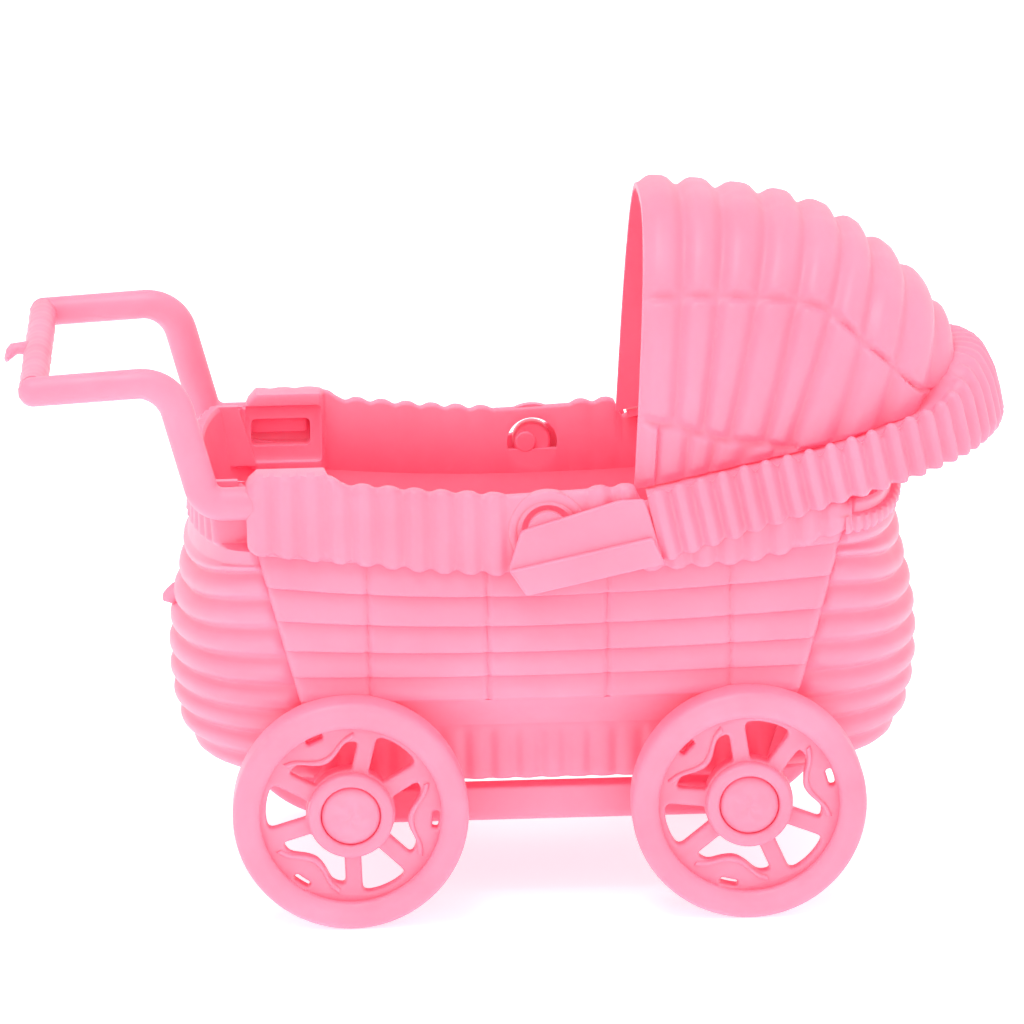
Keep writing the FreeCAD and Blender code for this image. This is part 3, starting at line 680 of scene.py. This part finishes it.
def rim_front(name):
    """The rim round the front end, mostly under the hood's band, with wavy rib ends."""
    straight = corner_x(52.0)
    reach = FRONT_RIM_LENGTH - straight
    top = RIM_TOP[-1][1] - 1.9
    sections = []
    for turn in np.radians(np.linspace(-90, 90, 220)):
        along = abs(math.degrees(turn)) / 90
        rib = float(bump((turn * 20 / RIB_PITCH * 1.35) % 1.0))
        under = 51.0 + 1.6 * (1 - along) - 0.35 * rib
        shape = abs(math.cos(turn)) ** END_SQUARENESS
        outline = []
        for grow, z in ((-1.1, under), (0.5, under), (0.8 + 0.3 * rib, under + 0.4),
                        (0.85 + 0.3 * rib, (under + top) / 2), (0.7 + 0.3 * rib, top - 0.3),
                        (0.4, top), (-1.1, top)):
            x = MID + straight - 0.7 + (reach + 0.7 + grow) * shape
            outline.append((x, (FRONT_RIM_WIDTH + grow) * math.sin(turn), z))
        sections.append(outline)
    return sweep(name, np.array(sections))


def gate_nub():
    """The little torn-off gate on the rear of the basket."""
    turns = full_turn(14)
    rows = []
    for out, radius in ((0.0, 1.5), (1.0, 1.35), (1.8, 0.9), (2.3, 0.5), (2.4, 0.1)):
        x = GATE_PLACE[0] - out
        uneven = radius * (1 + 0.18 * np.sin(3 * turns + x))
        rows.append(np.stack([np.full(14, x), uneven * np.cos(turns),
                              GATE_PLACE[1] - out * 0.3 + uneven * np.sin(turns)], axis=-1))
    return sweep("gate_nub", np.array(rows))


def build_basket(material):
    """The basket's moulding; its plain floor is the frame's own."""
    wear(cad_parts["basket_floor"], material)
    pieces = []
    for label, side in SIDES.items():
        pieces.append((side_panel("wicker_side_" + label, side), "basket_side_" + label))
        pieces.append((rim_side("ribbed_rim_" + label, side), "rim_band_" + label,
                       "handle_socket_" + label))
    rear_end = rounded_end("rear", -1, REAR_RINGS, REAR_TOP, notched=True)
    pieces.append((joined("ringed_end_rear", [rear_end, gate_nub()]), "basket_end_rear"))
    front = rounded_end("ringed_end_front", 1, FRONT_RINGS, FRONT_TOP)
    pieces.append((front, "basket_end_front"))
    pieces.append((rim_front("ribbed_rim_front"), "rim_band_front"))
    plinth = joined("ribbed_plinth", [plinth_side(side) for side in SIDES.values()])
    pieces.append((plinth, "basket_plinth"))
    for piece, *nodes in pieces:
        settle(piece, "basket", "basket_plastic", material, *nodes)


# ---------------------------------------------------------------- handle


def filleted(corners, step=0.35):
    """Points along straight runs joined by arcs; each corner gives its own radius."""
    points = [np.array(corners[0][:2])]
    for place in range(1, len(corners) - 1):
        corner = np.array(corners[place][:2])
        before = np.array(corners[place - 1][:2]) - corner
        after = np.array(corners[place + 1][:2]) - corner
        before = before / np.linalg.norm(before)
        after = after / np.linalg.norm(after)
        half = math.acos(float(np.clip(before @ after, -1, 1))) / 2
        radius = corners[place][2]
        reach = radius / math.tan(half)
        bisector = (before + after) / np.linalg.norm(before + after)
        centre = corner + bisector * (radius / math.sin(half))
        first = corner + before * reach - centre
        last = corner + after * reach - centre
        count = max(3, int(radius * (math.pi - 2 * half) / step) + 1)
        for t in np.linspace(0, 1, count):
            mix = first * (1 - t) + last * t
            points.append(centre + mix / np.linalg.norm(mix) * radius)
    points.append(np.array(corners[-1][:2]))
    return np.array(points)


def handle_arm(side):
    """One cranked arm, round, with a domed tip and a thicker foot."""
    route = filleted(ARM_PATH)
    along = np.gradient(route, axis=0)
    along /= np.linalg.norm(along, axis=1)[:, None]
    sections = []
    for back in (0.05, 0.35, 0.65, 0.87, 0.97):
        scale = ARM_SLIM * math.sqrt(1 - (1 - back) ** 2)
        place = route[0] - along[0] * ARM_SLIM * ARM_RADIUS * (1 - back)
        sections.append(arm_ring(place, along[0], scale, side))
    for place, way in zip(route, along):
        scale = ARM_SLIM + (1 - ARM_SLIM) * float(smooth((place[0] + 50.0) / 6.0))
        sections.append(arm_ring(place, way, scale, side))
    return sweep("arm", np.array(sections))


def arm_ring(place, way, scale, side):
    """A ring of points round the arm, a little flatter than a circle."""
    turns = full_turn(32)
    across = ARM_RADIUS * scale * np.cos(turns)
    beside = ARM_RADIUS * 0.98 * scale * np.sin(turns)
    return np.stack([place[0] - way[1] * across, side * ARM_Y + beside,
                     place[1] + way[0] * across], axis=-1)


def cross_bar():
    """The bar between the arms, with moulding waves."""
    turns = full_turn(32)
    sections = []
    for y in np.linspace(-CROSS_HALF, CROSS_HALF, 90):
        wave = 0.06 * math.sin(y * 1.1) + 0.05 * math.sin(y * 2.7 + 1)
        sections.append(np.stack([CROSS_BAR[0] + (1.78 + wave) * np.cos(turns), np.full(32, y),
                                  CROSS_BAR[1] + (1.95 + 0.5 * wave) * np.sin(turns)], axis=-1))
    return sweep("bar", np.array(sections))


def gate_hook():
    """The hooked gate left at the middle of the cross bar."""
    turns = full_turn(14)
    rows = []
    for x, z, radius in ((-63.2, 72.2, 1.2), (-64.2, 72.4, 0.85), (-65.0, 72.4, 0.75),
                         (-65.7, 72.1, 0.95), (-66.3, 71.5, 0.85), (-66.6, 70.9, 0.3)):
        rows.append(np.stack([x - 0.1 * np.sin(turns), 1.3 * radius * np.cos(turns),
                              z + radius * np.sin(turns)], axis=-1))
    return sweep("hook", np.array(rows))


def build_handle(material):
    """The snap-in handle: arms, tongues and cross bar are one moulding."""
    parts = [cross_bar(), gate_hook()]
    for side in SIDES.values():
        parts.append(handle_arm(side))
        parts.append(side_block("tongue", side, *TONGUE, 0.6))
    settle(joined("push_handle", parts), "basket", "handle_plastic", material,
           "handle_arm_left", "handle_arm_right", "handle_crossbar")


# ---------------------------------------------------------------- wheels and chassis


def polar(angle, radius):
    """A point from its angle in degrees and its distance from the axle."""
    turn = math.radians(angle)
    return (radius * math.cos(turn), radius * math.sin(turn))


def circle(radius, count):
    """Points of a circle about the axle."""
    return [(radius * math.cos(turn), radius * math.sin(turn)) for turn in full_turn(count)]


def spoke_edge(angle, radius, toward):
    """A point on the edge of a spoke, on the side that toward points to."""
    return polar(angle + toward * math.degrees(math.asin(SPOKE_HALF / radius)), radius)


def wide_window(centre):
    """A wide window with a swag hanging into it from the tyre."""
    low, high = centre - SPOKE_ANGLE, centre + SPOKE_ANGLE
    swag = [polar(centre + a, r) for a, r in ((21, 9.6), (10, 8.0), (0, 7.5), (-10, 8.0),
                                             (-21, 9.6))]
    corners = [spoke_edge(low, WINDOW_INNER, 1)]
    corners += [polar(centre + a, WINDOW_INNER) for a in (-17, -8, 0, 8, 17)]
    corners += [spoke_edge(high, WINDOW_INNER, -1), spoke_edge(high, 9.7, -1), *swag,
                spoke_edge(low, 9.7, 1)]
    return rounded(corners, [0.4] + [0.8] * 5 + [0.4, 0.7, 1.2, 1.0, 1.0, 1.0, 1.2, 0.7])


def narrow_window(centre):
    """A narrow window between two wide ones."""
    half = 60.0 - SPOKE_ANGLE
    low, high = centre - half, centre + half
    corners = [spoke_edge(low, WINDOW_INNER, 1), polar(centre - 5, WINDOW_INNER),
               polar(centre + 5, WINDOW_INNER), spoke_edge(high, WINDOW_INNER, -1),
               spoke_edge(high, 10.9, -1), polar(centre + 6, 11.05), polar(centre - 6, 11.05),
               spoke_edge(low, 10.9, 1)]
    return rounded(corners, [0.3, 0.8, 0.8, 0.3, 1.0, 1.0, 1.0, 1.0])


def slit(centre):
    """A tiny kidney-shaped hole behind each swag."""
    outer = [polar(centre + a, 11.55) for a in (-6, 0, 6)]
    inner = [polar(centre + a, 10.7) for a in (6, 0, -6)]
    return rounded(outer + inner, 0.45)


def wheel_parts():
    """A wheel about the Y axis at the origin, with its outer face towards -Y."""
    outlines = [circle(12.4, 128), circle(4.6, 64)]
    for turn in SWAG_TURNS:
        outlines += [wide_window(turn), narrow_window(turn + 60), slit(turn)]
    upright = Matrix.Rotation(math.radians(90), 4, "X")
    web = plate("web", outlines, 2.0, 0.45, upright)
    tyre = rounded([(TYRE_INNER, -2.3), (12.6, -WHEEL_HALF), (WHEEL_RADIUS, -WHEEL_HALF),
                    (WHEEL_RADIUS, WHEEL_HALF), (12.6, WHEEL_HALF), (TYRE_INNER, 2.3),
                    (12.0, 0.0)], (0.7, 1.0, 2.6, 2.0, 1.0, 0.7, 0.3), 9)
    hub = rounded([(2.1, -1.2), (CUP_RADIUS, -1.2), (CUP_RADIUS, -2.75), (HUB_RADIUS, -2.75),
                   (HUB_RADIUS, 2.9), (2.1, 2.9)], (0.05, 0.3, 0.8, 0.85, 0.4, 0.1), 9)
    return [web, lathe("tyre", tyre, (0, 0, 0), steps=144), lathe("hub", hub, (0, 0, 0)),
            *(swag_strap(turn) for turn in SWAG_TURNS)]


def swag_strap(centre):
    """The raised cord along a swag's lower edge."""
    angles = np.linspace(SWAG_CORD[0][0], SWAG_CORD[-1][0], 41)
    ring = full_turn(12)
    sections = []
    for angle, radius in zip(angles, eased(SWAG_CORD, angles)):
        x, z = polar(centre + angle, 1.0)
        out = radius + CORD_RADIUS * np.cos(ring)
        sections.append(np.stack([x * out, -0.95 + CORD_RADIUS * np.sin(ring), z * out], axis=-1))
    return sweep("strap", np.array(sections))


def staked_lumps(radius, turn):
    """Uneven height of an axle's flattened end, fading towards its middle and its edge."""
    lumps = 0.16 * np.sin(3 * turn + 1.1 * radius) + 0.12 * np.sin(5 * turn - 2.1 * radius)
    return lumps * np.clip(radius / 2.0, 0, 1) * np.clip(3.4 - radius, 0, 1)


def staked_axle(name, axle_x, side):
    """A stub axle whose end was flattened into a rough dome over the hub's cup."""
    start = SHOULDER_Y - WHEEL_Y
    body = rounded([(0.01, start - 1.4), (1.5, start - 1.4), (1.5, start), (3.3, start),
                    (3.3, -3.35), (1.95, -3.35), (1.95, 1.0), (0.01, 1.0)], 0.25, 4)
    dome = np.array([(0.01, 0.9), (3.4, 0.9), (3.74, 1.3), (3.79, 2.0), (3.6, 2.25), (3.2, 2.45),
                     (2.6, 2.65), (1.9, 2.8), (1.4, 2.88), (0.9, 2.9), (0.5, 2.86), (0.01, 2.8)])
    centre = (axle_x, side * WHEEL_Y, WHEEL_RADIUS)
    return joined(name, [lathe("stub", body, centre, side, 64),
                         lathe("dome", dome, centre, side, 64, staked_lumps)])


def build_wheels(material, chassis_material):
    """Four wheels of one shape, each on its own staked stub axle."""
    pattern = joined("wheel_pattern", wheel_parts())
    for end, axle_x in AXLES.items():
        for label, side in SIDES.items():
            corner = "%s_%s" % (end, label)
            turn = Matrix.Rotation(math.radians(WHEEL_TURNS[end]), 4, "Y")
            if side > 0:
                turn = Matrix.Rotation(math.pi, 4, "Z") @ turn
            move = Vector((axle_x, side * WHEEL_Y, WHEEL_RADIUS)) * MM
            wheel = linked("spoked_wheel_" + corner, pattern.data.copy())
            wheel.data.transform(Matrix.Translation(move) @ turn)
            settle(wheel, "wheel_" + corner, "wheel_plastic", material, "wheel_" + corner)
            axle = staked_axle("staked_axle_" + corner, axle_x, side)
            settle(axle, "basket", "chassis_plastic", chassis_material, "axle_" + corner)
    bpy.data.objects.remove(pattern)


def build_chassis(material):
    """The two rails with rounded undersides, and the ties and pads from the frame."""
    outline = rounded(RAIL_OUTLINE, (1.3, 1.6, 0.5, 0.4), 7)
    for label, side in SIDES.items():
        sections = [[(x, side * y, z) for y, z in shrunk(outline, factor)]
                    for x, factor in RAIL_STATIONS]
        rail = sweep("side_rail_" + label, np.array(sections))
        settle(rail, "basket", "chassis_plastic", material, "chassis_rail_" + label)
    for name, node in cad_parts.items():
        if name.startswith(("chassis_tie", "chassis_pad")):
            wear(node, material)


# ---------------------------------------------------------------- hood


def foot_place(length):
    """Where the shell's foot is, and its half width, at a length along the base curve."""
    straight = HOOD_REAR - SHELL_FRONT
    turn = np.clip((length - straight) / SHELL_WIDTH, 0, math.pi / 2)
    x = np.where(length < straight, SHELL_FRONT + length, HOOD_REAR + SHELL_WIDTH * np.sin(turn))
    return x, SHELL_WIDTH * np.cos(turn)


def shell_base(places, turns):
    """The hood's smooth shape: a leaning arch for each place along its ribs."""
    numbers = np.arange(len(SHELL_RIBS))
    lengths, tops, heights = (np.array(column, float) for column in zip(*SHELL_RIBS))
    foot_x, foot_y = foot_place(eased(tuple(zip(numbers, lengths)), places))
    top_x = eased(tuple(zip(numbers, tops)), places)
    top_z = eased(tuple(zip(numbers, heights)), places)
    rise = np.sin(turns) ** ARCH_RISE
    across = np.sign(np.cos(turns)) * np.abs(np.cos(turns)) ** ARCH_SPREAD
    x = foot_x[:, None] + (top_x - foot_x)[:, None] * rise[None, :]
    y = -foot_y[:, None] * across[None, :]
    z = SHELL_BASE + (top_z - SHELL_BASE)[:, None] * rise[None, :]
    return np.stack([x, y, z], axis=-1), rise


def surface_normals(points):
    """Outward directions of a grid of points, from its own slopes."""
    along = np.gradient(points, axis=0)
    across = np.gradient(points, axis=1)
    normals = np.cross(across, along)
    lengths = np.linalg.norm(normals, axis=2, keepdims=True)
    normals = normals / np.maximum(lengths, 1e-9)
    outwards = points - np.array([SHELL_MIDDLE, 0.0, 0.0])
    flip = np.sign(np.sum(normals * outwards, axis=2, keepdims=True))
    return normals * np.where(flip == 0, 1, flip)


def shell_ribs(places, rise):
    """How far each point of the hood stands out: fanning ribs in three rows.

    The lowest row, under the line called second, is set half a rib aside; creases end the rows.
    """
    place = places[:, None] + 0 * rise[None, :]
    height = rise[None, :] + 0 * place
    second = np.clip(0.26 - 0.045 * place, 0.0, 1.0)
    low_row = height < second
    part = np.where(low_row & (place > 0.55), (place + 0.5) % 1.0, place % 1.0)
    ribs = bump(part, 4.6)
    ends = np.zeros_like(height)
    for crease, depth in ((lookup(CREASE, place), 0.75), (second, 0.85 * (place < 5.2))):
        ends = np.maximum(ends, depth * np.exp(-((height - crease) / 0.020) ** 2))
    strength = np.where(low_row, 0.75, 1.0) * (1 - ends)
    foot = smooth(height / 0.04)
    last = 1 - smooth((place - 8.3) / 0.7)
    return (1.1 * ribs * strength * (0.35 + 0.65 * foot) - 0.25 * ends) * (0.3 + 0.7 * last)


def build_shell(material):
    """The ribbed roof of the hood."""
    ribs = len(SHELL_RIBS) - 1
    places = np.array([rib + part for rib in range(ribs) for part in RIB_ROWS] + [ribs - 1e-6])
    levels = np.unique(np.concatenate([np.linspace(0.0, 0.32, 40), np.linspace(0.32, 1.0, 90)]))
    half = np.arcsin(levels ** (1 / ARCH_RISE))
    turns = np.concatenate([half, math.pi - half[-2::-1]])
    base, rise = shell_base(places, turns)
    normals = surface_normals(base)
    outer = base + normals * (shell_ribs(places, rise)[:, :, None] - 0.5)
    inner = base - normals * (WALL + 0.1)
    inner[:, :, 2] = np.maximum(inner[:, :, 2], SHELL_BASE - 0.9)
    outer[:, :, 2] = np.maximum(outer[:, :, 2], SHELL_BASE - 0.4)
    piece = slab("ribbed_hood", placed(outer, hood_place()), placed(inner, hood_place()))
    settle(piece, "hood", "hood_plastic", material, "hood_shell")


def horseshoe_station(length):
    """Middle and outward direction of the band at a signed length from the rear."""
    turn = length / BAND_RADIUS
    if abs(turn) <= math.pi / 2:
        return HOOD_REAR, (math.cos(turn), math.sin(turn))
    extra = abs(length) - BAND_RADIUS * math.pi / 2
    return HOOD_REAR - extra, (0.0, math.copysign(1.0, length))


def band_section(rib, height, tall, under, rear):
    """The band and ledge cut across, as distance from the middle and height.

    The upright band beside the basket turns into a rounded roll behind the hood as rear goes
    from 0 to 1.
    """
    top = height + 0.1 + tall * rib
    face = BAND_FACE + BAND_RIB * rib
    beside = [(LEDGE_INNER, height - 1.0), (LEDGE_INNER, height), (22.6, height), (24.1, height),
              (24.7, height - 0.2), (25.1, height - 0.1), (25.35, (height + top) / 2),
              (25.65, top - 0.2), (26.0, top), (face - 0.35, top - 0.15),
              (face - 0.08, top - 0.6), (face, top - 1.3), (face, -1.5), (face, under + 1.8),
              (face - 0.05, under + 1.2), (face - 0.1, under + 0.7), (face - 0.2, under + 0.3),
              (face - 0.4, under), (25.75, under), (25.5, under + 0.3), (25.5, height - 1.6),
              (25.2, height - 1.1)]
    behind = [(LEDGE_INNER, 5.4), (LEDGE_INNER, 6.4), (22.4, 6.7 + 0.1 * rib), (23.3, 6.5 + 0.3 * rib),
              (24.1, 6.2 + 0.4 * rib), (24.8, 5.8 + 0.5 * rib), (25.3, 5.4 + 0.5 * rib),
              (25.6 + 0.2 * rib, 5.0 + 0.5 * rib), (25.8 + 0.4 * rib, 4.4 + 0.4 * rib),
              (25.9 + 0.6 * rib, 3.7 + 0.2 * rib), (26.0 + 0.8 * rib, 2.8),
              (26.1 + 0.9 * rib, 1.7), (26.1 + 1.0 * rib, -1.0), (26.0 + 1.0 * rib, under + 1.8),
              (25.9 + 0.8 * rib, under + 1.2), (25.8 + 0.6 * rib, under + 0.6),
              (25.7 + 0.4 * rib, under + 0.3), (25.6, under), (25.2, under), (25.0, under + 0.3),
              (25.0, 4.4), (24.6, 5.0)]
    return [(n * (1 - rear) + m * rear, z * (1 - rear) + w * rear)
            for (n, z), (m, w) in zip(beside, behind)]


def build_band(material):
    """The hood's base: a ribbed band all round its rear, with the ledge inside it."""
    half = HOOD_REAR - BAND_START + BAND_RADIUS * math.pi / 2
    pitch = half / BAND_RIBS
    sections = []
    for length in np.linspace(-half, half, 2 * BAND_RIBS * 12 + 1):
        from_rear = abs(length)
        rib = float(bump((from_rear / pitch) % 1.0, 2.8))
        height = 1.7 + 0.8 * float(smooth((46.0 - from_rear) / 34.0))
        tall = float(lookup(FINGER_RISE, from_rear))
        under = float(lookup(BAND_EDGE, from_rear)) - 0.25 * (rib - 0.5)
        rear = float(smooth((24.0 - from_rear) / 16.0))
        middle, out = horseshoe_station(length)
        sections.append([(middle + out[0] * n, out[1] * n, z)
                         for n, z in band_section(rib, height, tall, under, rear)])
    piece = sweep("ribbed_band", placed(np.array(sections), hood_place()), angle=60.0)
    settle(piece, "hood", "hood_plastic", material, "hood_band", "hood_ledge")


def snap_pin(side):
    """A hinge pin with the small nose that snaps behind the basket's wall."""
    pin = rounded([(0.01, -0.55), (2.35, -0.55), (2.65, 0.2), (2.65, 1.7), (0.01, 1.7)],
                  (0.02, 0.3, 0.3, 0.02, 0.02))
    nose = rounded([(0.01, -1.15), (1.4, -1.15), (1.4, 0.0), (0.01, 0.0)],
                   (0.02, 0.25, 0.05, 0.02))
    return [lathe("pin", pin, (PIVOT[0], side * HINGE_Y, PIVOT[1]), side, 48),
            lathe("nose", nose, (PIVOT[0] - 0.9, side * HINGE_Y, PIVOT[1]), side, 32)]


def build_cheeks(material):
    """The flat ends of the band and the snap pins behind them."""
    upright = Matrix.Rotation(math.radians(90), 4, "X")
    for label, side in SIDES.items():
        parts = []
        for corners, radius, low, high in CHEEKS:
            shift = Matrix.Translation((0, side * (low + high) / 2, 0))
            parts.append(plate("cheek", [rounded(corners, radius)], high - low, 0.3,
                               hood_place() @ shift @ upright))
        piece = joined("hood_cheek_and_pin_" + label, parts + snap_pin(side))
        settle(piece, "hood", "hood_plastic", material, "hood_cheek_" + label,
               "hood_pin_" + label)


# ---------------------------------------------------------------- studio


def build_floor():
    """A white floor, lit by itself as well, so that hardly a shadow shows on it."""
    bpy.ops.mesh.primitive_plane_add(size=8.0, location=(0, 0, 0))
    floor = bpy.context.object
    floor.name = "studio_floor"
    paint = bpy.data.materials.new("studio_white")
    paint.use_nodes = True
    set_inputs(paint.node_tree.nodes["Principled BSDF"], {
        "Base Color": (0.97, 0.97, 0.97, 1),
        "Roughness": 0.9,
        "Emission Color": (1.0, 1.0, 1.0, 1),
        "Emission Strength": 0.50,
        "Specular IOR Level": 0.0,
    })
    floor.data.materials.append(paint)


def build_lights():
    """Soft white light from all round and two large lamps."""
    world = bpy.data.worlds.new("studio_world")
    bpy.context.scene.world = world
    world.use_nodes = True
    set_inputs(world.node_tree.nodes["Background"],
               {"Color": (1.0, 1.0, 1.0, 1), "Strength": 0.90})
    for name, place, power, width in (("key", (-0.15, -0.20, 0.85), 2.8, 0.35),
                                      ("fill", (0.7, -0.5, 0.45), 0.3, 0.7)):
        lamp = bpy.data.lights.new(name, "AREA")
        lamp.energy = power
        lamp.size = width
        holder = linked(name, lamp)
        holder.location = place
        aim = Vector((0, 0, 0.04)) - Vector(place)
        holder.rotation_euler = aim.to_track_quat("-Z", "Y").to_euler()


def build_camera():
    """A long lens from the pram's right side, a little above it."""
    azimuth, elevation, roll = (math.radians(angle) for angle in (-2.05, 14.5, -1.0))
    distance = 0.850
    target = Vector((-0.0005, 0.0, 0.0485))
    back = Vector((math.sin(azimuth) * math.cos(elevation),
                   -math.cos(azimuth) * math.cos(elevation), math.sin(elevation)))
    right = Vector((math.cos(azimuth), math.sin(azimuth), 0.0))
    up = back.cross(right)
    level = right * math.cos(roll) + up * math.sin(roll)
    upright = back.cross(level)
    turn = Matrix((level, upright, back)).transposed().to_4x4()
    camera = linked("camera", bpy.data.cameras.new("camera"))
    camera.data.sensor_width = 36.0
    camera.data.lens = 226.0
    camera.data.clip_start = 0.01
    camera.matrix_world = Matrix.Translation(target + back * distance) @ turn
    bpy.context.scene.camera = camera


basket_plastic = plastic("basket_pink")
hood_plastic = plastic("hood_pink", 1.0, 48.0)
handle_plastic = plastic("handle_pink", 1.0, 80.0)
wheel_plastic = plastic("wheel_pink", 1.0, 95.0)
chassis_plastic = plastic("chassis_pink", 0.99, 70.0)

build_basket(basket_plastic)
build_handle(handle_plastic)
build_wheels(wheel_plastic, chassis_plastic)
build_chassis(chassis_plastic)
build_shell(hood_plastic)
build_band(hood_plastic)
build_cheeks(hood_plastic)
build_floor()
build_lights()
build_camera()
bpy.context.scene.view_settings.view_transform = "Standard"
